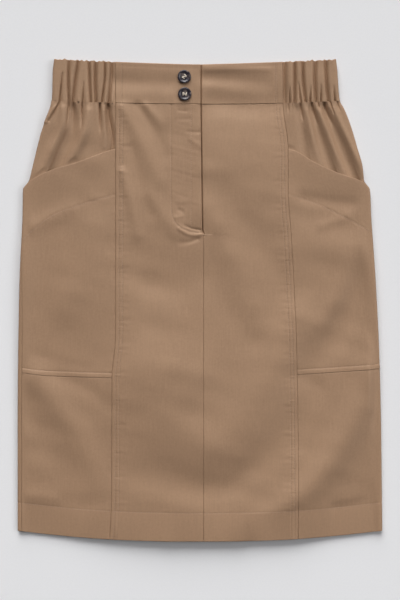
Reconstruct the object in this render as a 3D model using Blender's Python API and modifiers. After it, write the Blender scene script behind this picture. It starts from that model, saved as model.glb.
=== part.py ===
"""A cargo utility skirt, laid flat on its back with the front up.

The origin is on the surface that the skirt lies on, under the middle of its outline.
+X is the wearer's left, +Y runs up to the waist and +Z away from the surface. Sizes and
tables are in millimetres, and cloth_wall and button turn them into metres.

Each cloth piece is a wall on one flattened tube. At a height y the tube has its back flat
on the surface, a round roll along each side, and a low crown across its front. A spot on
the tube is (y, side, s): side is -1 or 1 for the nearer roll, and s is the distance
along the cloth past the top of that roll. So s is negative on the front, runs round the
roll from 0 to pi times its radius, and goes on along the back. A piece has rows, which
give y for an x, and columns, which give (side, s) for a y. A wall's outer points stand
off the tube by its lift, and its inner points lie its thickness further in.
"""
import math
from collections import namedtuple

import bmesh
import bpy
from mathutils import Matrix, Vector

MM = 0.001
WIDTH = 486.4            # across the hem, laid flat
LENGTH = 642.0           # from the waist's corners to the lowest point of the hem
WALL = 1.2               # cloth of one layer
HEM_WALL = 2.0           # cloth turned up at the hem
BAND_WALL = 1.8          # waistband, two layers and stiffening
BAND_PROUD = 0.5         # how far the band stands above the panels
GAP = 0.3                # between pieces at a seam
HEM_TURN = 38.0          # depth of the turned hem
POCKET_DROP = 1.2        # air between a pocket and the hip panel behind it
POCKET_FACING = 0.3      # how much the faced mouth adds to a pocket
FACING_DEPTH = 40.0
MOUTH_CORNER = 157.0     # height where the pocket mouths meet the hips' outline
FLY_LAP = 14.0           # how far the left front runs on under the fly
BAND_LAP = 37.0          # how far the left band runs on under the right
ALLOWANCE = 10.0         # seam allowances stitched down beside a princess seam
ALLOWANCE_RISE = 0.5
ALLOWANCE_SLOPE = 1.5    # over which the allowances' edges rise and fall
FLY_FOOT = 87.0          # height where the fly's edge turns into the centre seam
FLY_STEP = 6.5           # from the fly's edge to where the left front is back at its height
HIP_PUFF = 1.0           # how far gathered cloth swells below the band
HIP_PUFF_REACH = 90.0
GATHER_DEPTH = 1.8       # troughs of the band's elastic gathers
GATHER_PUFF = 0.6        # ridges between them
GATHER_WIDTH = 2.3
BUTTON_RADIUS = 9.0
BUTTON_DEPTH = 3.4
BUTTON_HOLE_RADIUS = 1.0
BUTTON_HOLE_RING = 2.2   # from the button's middle to its holes
BUTTON_STEPS = 28
BUTTONS = {"button_upper": (-20.9, 297.0), "button_lower": (-20.3, 273.9)}

HALF_LENGTH = LENGTH / 2
HALF_WIDTH = WIDTH / 2

Section = namedtuple("Section", "y left right roll crown")
SECTIONS = [
    Section(-310.0, -HALF_WIDTH, HALF_WIDTH, 2.8, 9.5),
    Section(-160.0, -243.2, 241.3, 3.0, 7.3),
    Section(-80.0, -242.5, 239.3, 3.1, 6.2),
    Section(27.0, -240.4, 234.0, 3.2, 4.8),
    Section(107.0, -236.8, 228.5, 3.2, 3.8),
    Section(147.0, -235.6, 225.9, 3.2, 3.4),
    Section(162.0, -227.3, 217.6, 3.2, 3.2),
    Section(180.0, -222.9, 214.7, 3.2, 3.0),
    Section(220.0, -212.4, 204.3, 3.2, 2.4),
    Section(251.0, -200.7, 192.5, 3.2, 2.0),
    Section(268.0, -195.4, 184.0, 3.2, 1.8),
    Section(305.0, -194.5, 181.3, 3.1, 1.5),
    Section(HALF_LENGTH, -192.5, 179.5, 3.1, 1.4),
]

# Seams that run down the skirt, as points (y, x).
PRINCESS_RIGHT = [(-321, -120.4), (-267, -117.9), (-104, -117.1), (-53, -112.9), (321, -112.5)]
PRINCESS_LEFT = [(-321, 130.7), (-200, 130.7), (-99, 129.3), (0, 125.9), (80, 121.6),
                 (147, 117.3), (200, 117.3), (261, 110.7), (321, 110.0)]
CENTRE = [(-321, 4.7), (86, 4.7), (92, 2.7), (261, 0.7), (321, 0.7)]

# Side seams, as points (y, s): the right one comes round to the front below the pocket mouth.
SIDE_SEAM_RIGHT = [(-321, -2.4), (-80, -2.4), (73, 1.6), (95, 4.5), (147, 6.5), (321, 6.5)]
SIDE_SEAM_LEFT = [(-321, 1.5), (-290, 2.5), (-200, 6.5), (321, 6.5)]

# Edges that run across the skirt, as points (x, y).
MOUTH_RIGHT = [(-237, 146.5), (-234.4, 149.9), (-227.6, 157.5), (-198.7, 172.8),
               (-164.7, 182.9), (-120.4, 199.2), (-112, 201.5)]
MOUTH_LEFT = [(117, 200.5), (124, 199.3), (153.3, 182.7), (186.7, 168), (218, 156.7),
              (225.7, 148.5), (228, 146)]
POCKET_FOOT_RIGHT = [(-243, -96.5), (-200, -101.3), (-112, -104)]
POCKET_FOOT_LEFT = [(125, -99.8), (186.7, -96), (243, -91.5)]

# Troughs of the hips' gathers, which fan out from x_top at the band to x_low at the pocket
# mouth, spread from width_top to width_low, and die out at y_end.
Gather = namedtuple("Gather", "x_top x_low y_end depth width_top width_low")
HIP_GATHERS = {
    "right": [
        Gather(-187.0, -245.0, 215, 1.2, 2.5, 5.0),
        Gather(-171.0, -197.0, 160, 2.4, 3.0, 12.0),
        Gather(-155.5, -171.0, 205, 1.8, 2.8, 9.0),
        Gather(-139.3, -143.0, 235, 1.4, 2.5, 5.0),
        Gather(-131.5, -130.0, 205, 2.0, 2.8, 7.0),
        Gather(-121.9, -115.5, 185, 2.6, 2.8, 4.0),
    ],
    "left": [
        Gather(119.5, 124.5, 230, 1.4, 2.5, 5.0),
        Gather(133.7, 147.0, 185, 2.2, 2.8, 8.0),
        Gather(146.7, 181.0, 190, 2.3, 2.8, 9.0),
        Gather(159.8, 211.0, 150, 2.8, 3.0, 12.0),
        Gather(174.0, 243.0, 225, 1.4, 2.5, 6.0),
    ],
}
# Troughs of the elastic's gathers, from x_top at the waist to x_low at the band's seam.
BandGather = namedtuple("BandGather", "x_top x_low depth")
BAND_GATHERS = {
    "right": [
        BandGather(-182.8, -187.2, 0.7),
        BandGather(-175.0, -175.7, 0.9),
        BandGather(-163.0, -168.0, 1.0),
        BandGather(-148.3, -146.5, 0.9),
        BandGather(-138.8, -139.3, 1.0),
        BandGather(-127.5, -130.5, 0.7),
        BandGather(-118.5, -120.5, 1.0),
    ],
    "left": [
        BandGather(118.0, 118.5, 0.6),
        BandGather(126.0, 126.1, 1.0),
        BandGather(136.7, 139.8, 1.0),
        BandGather(145.5, 147.2, 0.5),
        BandGather(154.0, 154.5, 1.0),
        BandGather(161.5, 162.0, 0.6),
        BandGather(168.5, 170.5, 1.0),
    ],
}

# Shares of the way across or along a piece, at which it has its columns and rows.
BAND_SHARES = (0, 0.1, 0.5, 0.9, 1)
BACK_SHARES = (-0.6, -0.2, 0.2, 0.6)
ROLL_SHARES = (0, 0.14, 0.28, 0.42, 0.56, 0.7, 1)
SIDE_SHARES = (0, 0.022, 0.044, 0.066, 0.09, 0.15, 0.3, 0.45, 0.6, 0.75, 0.9, 1)
UNDER = 9.0              # how far past the roll the back's close columns go
GATHER_OFFSETS = (-0.9, 0, 0.9)     # columns beside a gather's middle, in its widths
COLUMN_GAP = 0.8         # between two columns of a gathered hip

# The button's profile down its outer side, in radii and depths.
BUTTON_PROFILE = [(0, 0.62), (0.5, 0.62), (0.64, 0.7), (0.76, 0.98), (0.86, 1), (0.95, 0.86),
                  (1, 0.62), (0.97, 0.36), (0.72, 0.1), (0.5, 0), (0, 0)]

# Soft creases across the front: ridges, and troughs with a height below zero.
Crease = namedtuple("Crease", "x_start y_start x_end y_end width height")
CREASES = [
    Crease(15, -256, 100, -206, 22, -1.8),
    Crease(125, -188, 200, -55, 24, -1.6),
    Crease(-205, -122, -142, -196, 20, 1.7),
    Crease(-62, -10, -30, -120, 30, 1.6),
    Crease(-95, -216, -15, -216, 20, -1.4),
    Crease(-94, 228, -58, 165, 16, 1.2),
    Crease(30, 108, 66, 50, 20, 1.1),
    Crease(50, 214, 92, 206, 18, 1.1),
]


def curve(points):
    """Return a smooth function through (at, value) points that doesn't overshoot them."""
    ats = [at for at, _ in points]
    values = [value for _, value in points]
    spans = [b - a for a, b in zip(ats, ats[1:])]
    rises = [(b - a) / span for a, b, span in zip(values, values[1:], spans)]
    slopes = [rises[0]]
    for before, after in zip(rises, rises[1:]):
        turning = before * after <= 0
        slopes.append(0 if turning else 2 * before * after / (before + after))
    slopes.append(rises[-1])

    def read(at):
        at = min(max(at, ats[0]), ats[-1])
        i = max(k for k in range(len(spans)) if ats[k] <= at)
        t = (at - ats[i]) / spans[i]
        ease = t * t * (3 - 2 * t)
        lead = t * (1 - t) ** 2 * slopes[i]
        trail = t * t * (t - 1) * slopes[i + 1]
        return values[i] + (values[i + 1] - values[i]) * ease + (lead + trail) * spans[i]

    return read


def section_curve(column):
    return curve([(section.y, getattr(section, column)) for section in SECTIONS])


left_edge = section_curve("left")
right_edge = section_curve("right")
roll_radius = section_curve("roll")
crown_height = section_curve("crown")
princess = {"right": curve(PRINCESS_RIGHT), "left": curve(PRINCESS_LEFT)}
side_seam = {"right": curve(SIDE_SEAM_RIGHT), "left": curve(SIDE_SEAM_LEFT)}
mouth = {"right": curve(MOUTH_RIGHT), "left": curve(MOUTH_LEFT)}
pocket_foot = {"right": curve(POCKET_FOOT_RIGHT), "left": curve(POCKET_FOOT_LEFT)}
SIDE_OF = {"right": -1, "left": 1}


def centre(y):
    """The fly's edge, and the centre seam below it, as x for y."""
    for (low, x_low), (high, x_high) in zip(CENTRE, CENTRE[1:]):
        if y <= high:
            return blend(x_low, x_high, (max(y, low) - low) / (high - low))
    return CENTRE[-1][1]


def blend(start, end, k):
    return start + (end - start) * k


def share(start, end, at):
    """How far along from start to end a value is, from 0 to 1."""
    return min(max((at - start) / (end - start), 0), 1)


def ease(start, end, at):
    """Rise smoothly from 0 where at is start to 1 where it is end."""
    k = share(start, end, at)
    return k * k * (3 - 2 * k)


def waist_edge(x):
    """The top edge dips by 7.3 at the front's middle."""
    return HALF_LENGTH - 7.3 * (1 - min(abs(x + 2) / 190, 1) ** 1.3)


def band_seam(x):
    return 265.3 - 4.6 * (1 - (x / 195) ** 2)


def hem_edge(x):
    return -HALF_LENGTH + 13.3 * min(abs(x) / HALF_WIDTH, 1) ** 2.5


def crease_height(x, y):
    """The sum of the soft creases at a point of the front."""
    height = 0
    for crease in CREASES:
        run_x, run_y = crease.x_end - crease.x_start, crease.y_end - crease.y_start
        from_x, from_y = x - crease.x_start, y - crease.y_start
        k = (from_x * run_x + from_y * run_y) / (run_x ** 2 + run_y ** 2)
        k = min(max(k, 0), 1)
        away = math.hypot(from_x - k * run_x, from_y - k * run_y) / crease.width
        height += crease.height * math.exp(-away * away)
    return height


def hinge(side, y):
    """The middle of a side's roll, as x."""
    edge = left_edge(y) if side < 0 else right_edge(y)
    return edge - side * roll_radius(y)


def tube(y, side, s, lift=0):
    """The point of the tube at a spot, in millimetres, moved out from the cloth by lift."""
    roll = roll_radius(y)
    turn = min(max(s / roll, 0), math.pi)
    along = s - turn * roll
    x = hinge(side, y) + side * (roll + lift) * math.sin(turn) + side * (along if s < 0 else -along)
    z = roll + (roll + lift) * math.cos(turn)
    if s < 0:
        middle = (hinge(-1, y) + hinge(1, y)) / 2
        across = min(abs(x - middle) / (hinge(1, y) - middle), 1)
        z += crown_height(y) * (1 - across ** 2) ** 2
        z += crease_height(x, y) * ease(1, 0.9, across)
    return x, y, z


def settle(row, column):
    """The spot where a row, y for x, meets a column, (side, s) for y."""
    x = 0
    for _ in range(14):
        y = row(x)
        side, s = column(y)
        x = tube(y, side, s)[0]
    return y, side, s


def rows_between(upper, lower, shares):
    """Rows at shares of the way from an upper edge to a lower one."""
    return [lambda x, k=k: blend(upper(x), lower(x), k) for k in shares]


def shifted(edge, step):
    return lambda at: edge(at) + step


def on_front(line, side=-1):
    """The column on the front whose x is line(y)."""
    return lambda y: (side, side * (line(y) - hinge(side, y)))


def on_back(share):
    """The column on the back at a share of its half width, from -1 to 1."""
    side = -1 if share < 0 else 1

    def column(y):
        return side, math.pi * roll_radius(y) + abs(hinge(side, y)) * (1 - abs(share))

    return column


def round_side(side, start, end, shares):
    """Columns at shares of the way between two distances s, each given for y."""
    return [lambda y, k=k: (side, blend(start(y), end(y), k)) for k in shares]


def past_front(line, side):
    """The distance s of the front's line x for y, as a function of y."""
    return lambda y: side * (line(y) - hinge(side, y))


def past_roll(step):
    """The distance s that is step past the foot of the roll, as a function of y."""
    return lambda y: math.pi * roll_radius(y) + step


def hip_gather(gather, name, y):
    """The middle and the width of one of a hip's gathers at a height y."""
    k = share(band_seam(gather.x_top), mouth[name](gather.x_low), y)
    return blend(gather.x_top, gather.x_low, k), blend(gather.width_top, gather.width_low, k)


def hip_relief(name, x, y):
    """The height of the gathered hip: a puff at the band, less the troughs that cross it."""
    top = band_seam(x)
    relief = HIP_PUFF * ease(top - HIP_PUFF_REACH, top, y)
    for gather in HIP_GATHERS[name]:
        middle, width = hip_gather(gather, name, y)
        faded = 1 - share(top, gather.y_end, y) ** 2
        relief -= gather.depth * faded * math.exp(-((x - middle) / width) ** 2)
    return relief


def no_lift(x, y, s):
    return 0


def fading(s, y):
    """1 on the front, falling to 0 round the roll, so that the back stays flat."""
    turn = min(max(s / roll_radius(y), 0), math.pi)
    return (1 + math.cos(turn)) / 2


def allowance_ridge(inset):
    """The low ridge of the seam allowances, at a distance into the panel from its seam."""
    rise = ease(0, ALLOWANCE_SLOPE, inset)
    return ALLOWANCE_RISE * rise * ease(ALLOWANCE + ALLOWANCE_SLOPE, ALLOWANCE, inset)


def hem_thickness(x, y):
    """The wall is thicker where the hem is turned up."""
    height = y - hem_edge(x)
    return blend(WALL, HEM_WALL, share(HEM_TURN + 1.5, HEM_TURN, height))


def one_layer(x, y):
    return WALL


def band_layers(x, y):
    return BAND_WALL


def new_material(name, colour, roughness):
    material = bpy.data.materials.new(name)
    material.use_nodes = True
    shader = material.node_tree.nodes["Principled BSDF"]
    shader.inputs["Base Color"].default_value = (*colour, 1)
    shader.inputs["Roughness"].default_value = roughness
    shader.inputs["Metallic"].default_value = 0
    material.diffuse_color = (*colour, 1)
    return material


def add_object(name, mesh, material, collection):
    mesh.materials.append(material)
    mesh.shade_smooth()
    mesh.set_sharp_from_angle(angle=math.radians(40))
    obj = bpy.data.objects.new(name, mesh)
    collection.objects.link(obj)
    return obj


def cloth_wall(name, rows, columns, lift=no_lift, thickness=one_layer):
    """Build a closed wall through sections, one for each row, of outer and inner points."""
    mesh = bmesh.new()
    outer, inner = [], []
    for row in rows:
        outer_line, inner_line = [], []
        for column in columns:
            spot = settle(row, column)
            x, y, _ = tube(*spot)
            raised = lift(x, y, spot[2])
            for line, height in ((outer_line, raised), (inner_line, raised - thickness(x, y))):
                line.append(mesh.verts.new(Vector(tube(*spot, height)) * MM))
        outer.append(outer_line)
        inner.append(inner_line)
    last_row, last_column = len(rows) - 1, len(columns) - 1
    for i in range(last_row):
        for j in range(last_column):
            for skin in (outer, inner):
                mesh.faces.new((skin[i][j], skin[i][j + 1], skin[i + 1][j + 1], skin[i + 1][j]))
        for j in (0, last_column):
            mesh.faces.new((outer[i][j], outer[i + 1][j], inner[i + 1][j], inner[i][j]))
    for j in range(last_column):
        for i in (0, last_row):
            mesh.faces.new((outer[i][j], outer[i][j + 1], inner[i][j + 1], inner[i][j]))
    bmesh.ops.recalc_face_normals(mesh, faces=mesh.faces)
    data = bpy.data.meshes.new(name)
    mesh.to_mesh(data)
    mesh.free()
    return add_object(name, data, cloth, skirt)


def centre_rows():
    """Rows of the centre front panels, at these heights on the centre line."""
    top, foot = band_seam(0) - GAP, hem_edge(0)
    heights = [top, 248, 228, 205, 180, 150, 120, 92, FLY_FOOT + 1, FLY_FOOT - 1, FLY_FOOT - 8,
               55, 20, -15, -50, -85, -120, -150, -180, -205, -230, -255,
               foot + HEM_TURN + 1.5, foot + HEM_TURN, foot]
    shares = [(top - height) / (top - foot) for height in heights]
    return rows_between(shifted(band_seam, -GAP), hem_edge, shares)


def front_right():
    seam = shifted(princess["right"], GAP / 2)
    edge = shifted(centre, -GAP / 2)
    steps = [0, ALLOWANCE_SLOPE, ALLOWANCE, ALLOWANCE + ALLOWANCE_SLOPE]
    columns = [on_front(shifted(seam, step)) for step in steps]
    start = shifted(seam, steps[-1])
    for k in (0.16, 0.32, 0.48, 0.64, 0.8, 1):
        columns.append(on_front(lambda y, k=k: blend(start(y), edge(y), k)))

    def lift(x, y, s):
        return allowance_ridge(x - seam(y))

    return cloth_wall("front_right", centre_rows(), columns, lift, hem_thickness)


def front_left():
    """The left centre panel, whose edge drops and runs on under the fly."""
    seam = shifted(princess["left"], -GAP / 2)
    steps = [ALLOWANCE + ALLOWANCE_SLOPE, ALLOWANCE, ALLOWANCE_SLOPE, 0]

    def hidden_edge(y):
        return centre(y) - FLY_LAP if y > FLY_FOOT else centre(y) + GAP / 2

    start, end = shifted(centre, FLY_STEP), shifted(seam, -steps[0])
    columns = [on_front(hidden_edge), on_front(shifted(centre, 1)),
               on_front(shifted(centre, FLY_STEP / 2)), on_front(start)]
    for k in (0.2, 0.4, 0.6, 0.8):
        columns.append(on_front(lambda y, k=k: blend(start(y), end(y), k)))
    columns += [on_front(shifted(seam, -step)) for step in steps]

    def lift(x, y, s):
        lapped = ease(FLY_FOOT - 8, FLY_FOOT - 1, y) * ease(FLY_STEP, 1, x - centre(y))
        return allowance_ridge(seam(y) - x) - (WALL + GAP) * lapped

    return cloth_wall("front_left", centre_rows(), columns, lift, hem_thickness)


def in_order(lines, side, y):
    """The x of each line at y, from the middle out, kept apart and clear of the roll."""
    outward = sorted(side * line(y) for line in lines)
    limit = side * hinge(side, y) - COLUMN_GAP
    for number in reversed(range(len(outward))):
        outward[number] = min(outward[number], limit)
        limit = outward[number] - COLUMN_GAP
    return outward


def hip(name):
    """A side panel, gathered into the band, which drops and runs on behind the pocket."""
    side = SIDE_OF[name]
    tucked = shifted(mouth[name], 1)
    seam = shifted(side_seam[name], -GAP / 2)

    def above_mouth(x):
        """Where the panel starts to drop into the pocket: 5 above its mouth near the roll,
        and 25 above it further in."""
        return mouth[name](x) + blend(5, 25, share(HALF_WIDTH - 14, HALF_WIDTH - 74, abs(x)))

    def side_end(y):
        """The panel leaves the side seam at the mouth and runs on inside the pocket."""
        return blend(-0.5, seam(y), share(MOUTH_CORNER - 0.5, MOUTH_CORNER + 3.5, y))

    def gather_line(gather, offset):
        def line(y):
            middle, width = hip_gather(gather, name, y)
            return middle + offset * min(width, 6)
        return line

    lines = [gather_line(gather, offset) for gather in HIP_GATHERS[name]
             for offset in GATHER_OFFSETS]
    numbers = range(len(lines))
    across = [on_front(lambda y, n=n: side * in_order(lines, side, y)[n], side) for n in numbers]
    rim = round_side(side, side_end, lambda y: across[-1](y)[1], (0, 0.2, 0.4, 0.6, 0.8))
    inner_seam = shifted(princess[name], side * GAP / 2)
    columns = [on_front(inner_seam, side)] + across + rim[::-1]

    upper = rows_between(shifted(band_seam, -GAP), above_mouth, (0, 0.12, 0.3, 0.55, 0.8, 1))
    tuck = rows_between(above_mouth, tucked, (0.5, 1)) + [shifted(mouth[name], -3)]
    foot = shifted(pocket_foot[name], 4)
    behind = rows_between(shifted(mouth[name], -14), foot, (0, 0.1, 0.35, 0.65, 1))

    def lift(x, y, s):
        sunk = ease(above_mouth(x), tucked(x), y)
        calmed = hip_relief(name, x, y) * (1 - 0.75 * sunk)
        return (calmed - (POCKET_DROP + WALL) * sunk) * fading(s, y)

    return cloth_wall("hip_" + name, upper + tuck + behind, columns, lift)


def pocket(name):
    """A pocket panel, from the side seam to the princess seam."""
    side = SIDE_OF[name]
    seam = shifted(side_seam[name], -GAP / 2)
    inner = past_front(shifted(princess[name], side * GAP / 2), side)
    columns = round_side(side, seam, inner, SIDE_SHARES)
    foot = shifted(pocket_foot[name], GAP / 2)
    rows = rows_between(mouth[name], foot, (0, 0.01, 0.08, 0.18, 0.3, 0.42, 0.55, 0.68, 0.8, 0.92, 1))

    def facing(x, y):
        """The mouth is faced, so its edge is thicker."""
        return POCKET_FACING * ease(-FACING_DEPTH, 0, y - mouth[name](x))

    def thickness(x, y):
        return WALL + facing(x, y)

    def lift(x, y, s):
        return facing(x, y) * fading(s, y)

    return cloth_wall("pocket_" + name, rows, columns, lift, thickness)


def lower_side(name):
    """The side panel between the pocket and the hem."""
    side = SIDE_OF[name]
    seam = shifted(side_seam[name], -GAP / 2)
    inner = past_front(shifted(princess[name], side * GAP / 2), side)
    columns = round_side(side, seam, inner, SIDE_SHARES)
    head = shifted(pocket_foot[name], -GAP / 2)
    turn = shifted(hem_edge, HEM_TURN)
    rows = rows_between(head, shifted(turn, 1.5), (0, 0.16, 0.32, 0.48, 0.64, 0.82, 1))
    rows += [turn, hem_edge]
    return cloth_wall("lower_side_" + name, rows, columns, no_lift, hem_thickness)


def back():
    """The back panel, flat on the surface, rolled up to the side seams."""
    ends = {name: shifted(side_seam[name], GAP / 2) for name in SIDE_OF}
    columns = round_side(-1, ends["right"], past_roll(UNDER), ROLL_SHARES)
    columns += [on_back(k) for k in BACK_SHARES]
    columns += round_side(1, ends["left"], past_roll(UNDER), ROLL_SHARES)[::-1]
    heights = [265, 245, 220, 190, 168, 161, 154, 147, 128, 95, 60, 27, -25, -80, -120, -148,
               -176, -205, -236, -268]
    top = band_seam(HALF_WIDTH)
    shares = [(top - height) / (top - hem_edge(HALF_WIDTH)) for height in heights]
    turn = shifted(hem_edge, HEM_TURN)
    rows = [shifted(band_seam, -GAP)] + rows_between(band_seam, hem_edge, shares[1:]) + [turn, hem_edge]
    return cloth_wall("back", rows, columns, no_lift, hem_thickness)


def band_gather(gather, y):
    """The middle of one of the band's gathers at a height y, as x."""
    k = share(waist_edge(gather.x_top), band_seam(gather.x_low), y)
    return blend(gather.x_top, gather.x_low, k)


def band_relief(x, y, s):
    """The band stands proud of the panels, with the elastic's gathers at its sides."""
    if princess["right"](y) < x < princess["left"](y):
        return BAND_PROUD * fading(s, y)
    relief = BAND_PROUD + GATHER_PUFF
    for gather in BAND_GATHERS["right" if x < 0 else "left"]:
        away = (x - band_gather(gather, y)) / GATHER_WIDTH
        relief -= GATHER_DEPTH * gather.depth * math.exp(-away * away)
    return relief * fading(s, y)


def elastic_columns(name):
    """Columns from a front band seam through the gathers and round the roll to the back."""
    side = SIDE_OF[name]
    columns = [on_front(shifted(princess[name], side * GAP / 2), side)]
    outward = sorted(BAND_GATHERS[name], key=lambda gather: abs(gather.x_top))
    for gather in outward:
        for offset in GATHER_OFFSETS:
            reach = side * offset * GATHER_WIDTH
            columns.append(on_front(lambda y, g=gather, r=reach: band_gather(g, y) + r, side))
    return columns + round_side(side, lambda y: -2.5, past_roll(UNDER), ROLL_SHARES)


def waistband_back():
    """The elastic band, from one front band seam round the back to the other."""
    rows = rows_between(waist_edge, band_seam, BAND_SHARES)
    columns = elastic_columns("right") + [on_back(k) for k in BACK_SHARES]
    columns += elastic_columns("left")[::-1]
    return cloth_wall("waistband_back", rows, columns, band_relief, band_layers)


def waistband_front_right():
    """The plain front band with the overlap, which ends at the fly's edge."""
    rows = rows_between(waist_edge, band_seam, BAND_SHARES)
    start = shifted(princess["right"], GAP / 2)
    columns = [on_front(lambda y, k=k: blend(start(y), centre(y), k))
               for k in (0, 0.03, 0.25, 0.5, 0.68, 0.84, 0.97, 1)]
    return cloth_wall("waistband_front_right", rows, columns, band_relief, band_layers)


def waistband_front_left():
    """The plain front band with the underlap, which drops under the overlap."""
    rows = rows_between(waist_edge, band_seam, BAND_SHARES)
    start, end = shifted(centre, FLY_STEP), shifted(princess["left"], -GAP / 2)
    steps = (-BAND_LAP, -BAND_LAP / 2, 1, FLY_STEP / 2, FLY_STEP)
    columns = [on_front(shifted(centre, step)) for step in steps]
    for k in (0.25, 0.5, 0.75, 0.97, 1):
        columns.append(on_front(lambda y, k=k: blend(start(y), end(y), k)))

    def lift(x, y, s):
        return BAND_PROUD - (BAND_WALL + GAP) * ease(FLY_STEP, 1, x - centre(y))

    return cloth_wall("waistband_front_left", rows, columns, lift, band_layers)


def button(name, x, y):
    """A turned four-hole button with a raised rim, lying on the overlap."""
    mesh = bpy.data.meshes.new(name)
    points = [(BUTTON_RADIUS * reach * MM, 0, BUTTON_DEPTH * height * MM)
              for reach, height in BUTTON_PROFILE]
    mesh.from_pydata(points, [(i, i + 1) for i in range(len(points) - 1)], [])
    obj = add_object(name, mesh, horn, skirt)
    turned = obj.modifiers.new("Turned", "SCREW")
    turned.steps = turned.render_steps = BUTTON_STEPS
    turned.use_merge_vertices = True
    turned.merge_threshold = 0.00001
    turned.use_smooth_shade = True
    band_top = tube(*settle(lambda at: y, on_front(lambda at: x)), BAND_PROUD)[2]
    obj.location = Vector((x, y, band_top + GAP)) * MM
    for number in range(4):
        angle = math.radians(45 + 90 * number)
        add_hole(obj, f"{name}_hole_{number}", angle)
    return obj


def add_hole(obj, name, angle):
    """Cut one thread hole through a button."""
    cutter_mesh = bmesh.new()
    bmesh.ops.create_cone(cutter_mesh, cap_ends=True, segments=10,
                          radius1=BUTTON_HOLE_RADIUS * MM, radius2=BUTTON_HOLE_RADIUS * MM,
                          depth=3 * BUTTON_DEPTH * MM,
                          matrix=Matrix.Translation((0, 0, BUTTON_DEPTH / 2 * MM)))
    data = bpy.data.meshes.new(name)
    cutter_mesh.to_mesh(data)
    cutter_mesh.free()
    cutter = bpy.data.objects.new(name, data)
    cutters.objects.link(cutter)
    reach = BUTTON_HOLE_RING * MM
    cutter.location = obj.location + Vector((math.cos(angle), math.sin(angle), 0)) * reach
    cutter.hide_render = True
    cutter.display_type = "WIRE"
    cut = obj.modifiers.new("Thread hole", "BOOLEAN")
    cut.operation = "DIFFERENCE"
    cut.solver = "EXACT"
    cut.object = cutter


def new_collection(name):
    collection = bpy.data.collections.new(name)
    bpy.context.scene.collection.children.link(collection)
    return collection


for old in list(bpy.data.objects):
    bpy.data.objects.remove(old, do_unlink=True)
skirt = new_collection("cargo_utility_skirt")
cutters = new_collection("cutters")
cloth = new_material("tan_twill", (0.37, 0.25, 0.165), 0.85)
horn = new_material("dark_horn", (0.035, 0.027, 0.028), 0.35)

front_right()
front_left()
for wearer_side in ("right", "left"):
    hip(wearer_side)
    pocket(wearer_side)
    lower_side(wearer_side)
back()
waistband_front_right()
waistband_front_left()
waistband_back()
for button_name, (button_x, button_y) in BUTTONS.items():
    button(button_name, button_x, button_y)
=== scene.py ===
"""A cargo utility skirt, laid flat on its back on a pale floor, seen from straight above.

Sizes, places and tables are in millimetres in the part's own frame, and new_mesh turns them into
metres. Each cloth piece is a thin closed shell on the part's own form: one flattened tube with
its back on the floor, a roll along each side and a low crown across the front. A spot on the
tube is (y, side, s): side is -1 or 1 for the nearer roll, and s is the distance along the cloth
past the top of that roll, below zero on the front.
"""
import math
from collections import namedtuple

import bmesh
import bpy
import numpy as np
from mathutils import Matrix, Vector


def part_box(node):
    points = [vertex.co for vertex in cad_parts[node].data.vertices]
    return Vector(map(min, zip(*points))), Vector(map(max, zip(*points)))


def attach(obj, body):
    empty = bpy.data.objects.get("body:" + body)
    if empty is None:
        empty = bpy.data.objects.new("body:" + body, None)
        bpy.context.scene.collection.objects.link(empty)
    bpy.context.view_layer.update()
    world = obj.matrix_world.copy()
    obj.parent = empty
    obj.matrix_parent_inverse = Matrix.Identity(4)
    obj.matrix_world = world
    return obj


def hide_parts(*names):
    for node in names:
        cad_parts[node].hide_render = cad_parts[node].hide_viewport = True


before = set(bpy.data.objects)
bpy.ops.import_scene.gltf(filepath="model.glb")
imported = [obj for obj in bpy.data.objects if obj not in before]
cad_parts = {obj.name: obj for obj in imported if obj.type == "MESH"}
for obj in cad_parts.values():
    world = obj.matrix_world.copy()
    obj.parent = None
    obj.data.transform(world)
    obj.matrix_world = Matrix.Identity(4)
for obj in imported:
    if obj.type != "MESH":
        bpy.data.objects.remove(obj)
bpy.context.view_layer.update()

MM = 0.001
HALF_LENGTH = 321.0
HALF_WIDTH = 243.2
CLOTH = 0.9              # one layer of twill
HEM_CLOTH = 1.7          # the turned hem
BAND_CLOTH = 1.7         # the waistband's layers
SEAM_GAP = 0.12          # what shows between two cloths at a seam
HIP_GAP = 0.3            # between a hip and the back, at the side seam
EDGE = 0.75              # radius of a turned cloth edge
HEM_TURN = 38.0
ALLOWANCE = 10.0         # of a princess seam, stitched down beside it
MOUTH_CORNER = 157.0     # the pocket mouths' outer corners, as y
HIP_LAP = 22.0           # how far a hip runs on below the pocket's mouth
FLY_FOOT = 87.0          # the fly's lower end, as y
FLY_LAP = 14.0           # how far the left front runs on under the fly
BAND_LAP = 37.0          # and the left band under the overlap
BAND_PROUD = 0.5         # the band's rise above the panels
SIDE_OF = {"right": -1, "left": 1}

Section = namedtuple("Section", "y left right roll crown puff")
SECTIONS = [
    Section(-310.0, -HALF_WIDTH, HALF_WIDTH, 2.8, 7.0, 0.2),
    Section(-160.0, -243.2, 241.3, 3.0, 7.3, 0.9),
    Section(-80.0, -242.5, 239.3, 3.1, 6.2, 2.0),
    Section(27.0, -240.4, 234.0, 3.2, 4.8, 3.8),
    Section(107.0, -236.8, 228.5, 3.2, 3.8, 1.6),
    Section(147.0, -235.6, 225.9, 3.2, 3.4, 0.6),
    Section(162.0, -227.3, 217.6, 3.2, 3.2, 0.4),
    Section(180.0, -222.9, 214.7, 3.2, 3.0, 0.3),
    Section(220.0, -212.4, 204.3, 3.2, 2.4, 0.2),
    Section(251.0, -200.7, 192.5, 3.2, 2.0, 0.0),
    Section(268.0, -195.4, 184.0, 3.2, 1.8, 0.0),
    Section(305.0, -194.5, 181.3, 3.1, 1.5, 0.0),
    Section(HALF_LENGTH, -192.5, 179.5, 3.1, 1.4, 0.0),
]
PUFF_REACH = 18.0        # how far in from the roll the side's puff reaches
SQUARENESS = 3.0         # of the rolls, where 2 is round
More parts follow.
